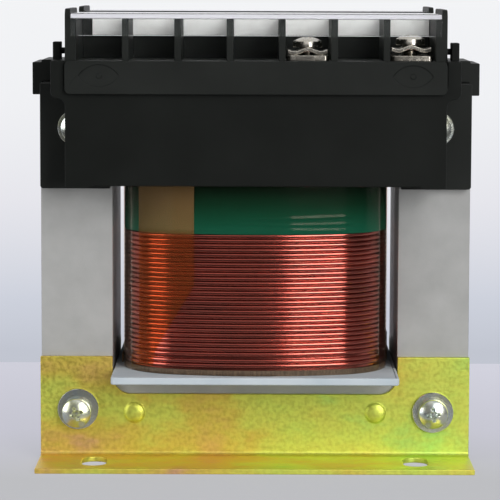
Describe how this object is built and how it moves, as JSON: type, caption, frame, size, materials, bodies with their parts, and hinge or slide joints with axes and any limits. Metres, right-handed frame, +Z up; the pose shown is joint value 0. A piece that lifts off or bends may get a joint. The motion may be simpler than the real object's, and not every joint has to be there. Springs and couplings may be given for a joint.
{
  "type": "laminated chassis transformer",
  "caption": "Open-frame control transformer: interleaved steel core on two folded feet, copper coil on a nylon bobbin, covered barrier terminals along both top edges.",
  "frame": {"origin": "centre of the base, on the mounting plane", "axes": "+X across the width to the right as seen from the front, +Y to the rear, +Z up"},
  "size_m": [0.0884, 0.062, 0.0888],
  "materials": {
    "core_steel": "matte light grey varnished silicon steel",
    "bobbin_nylon": "milky blue-white nylon",
    "magnet_wire": "enamelled copper wire under varnish",
    "insulation_paper": "kraft paper",
    "margin_tape": "olive paper tape",
    "green_tape": "green polyester tape",
    "clear_film": "clear polyester film",
    "zinc_yellow": "yellow passivated zinc on steel",
    "zinc_bright": "bright zinc plated steel",
    "black_plastic": "black moulded polycarbonate",
    "clear_plastic": "clear polycarbonate",
    "marker_card": "plain white strip",
    "nickel": "nickel plated brass and steel"
  },
  "bodies": {
    "root": {"e_laminations": "core_steel", "i_laminations": "core_steel", "bobbin": "bobbin_nylon", "primary_winding": "magnet_wire", "winding_insulation": "insulation_paper", "secondary_winding": "magnet_wire", "margin_tape": "margin_tape", "green_tape": "green_tape", "outer_film": "clear_film", "paper_liners": "insulation_paper", "front_foot": "zinc_yellow", "rear_foot": "zinc_yellow", "lower_screws": "zinc_bright", "upper_screws": "zinc_bright", "lower_flat_washers": "zinc_bright", "upper_flat_washers": "zinc_bright", "spring_washers": "zinc_bright", "hex_nuts": "zinc_bright", "front_frame": "black_plastic", "rear_frame": "black_plastic", "front_housing": "black_plastic", "rear_housing": "black_plastic", "front_strip": "black_plastic", "rear_strip": "black_plastic", "top_bridge": "black_plastic", "front_cover": "clear_plastic", "rear_cover": "clear_plastic", "front_marker": "marker_card", "rear_marker": "marker_card", "front_plates": "nickel", "rear_plates": "nickel", "front_clamps": "nickel", "rear_clamps": "nickel", "front_terminal_screws": "nickel", "rear_terminal_screws": "nickel", "front_leads": "magnet_wire", "rear_leads": "magnet_wire"}
  },
  "joints": []
}
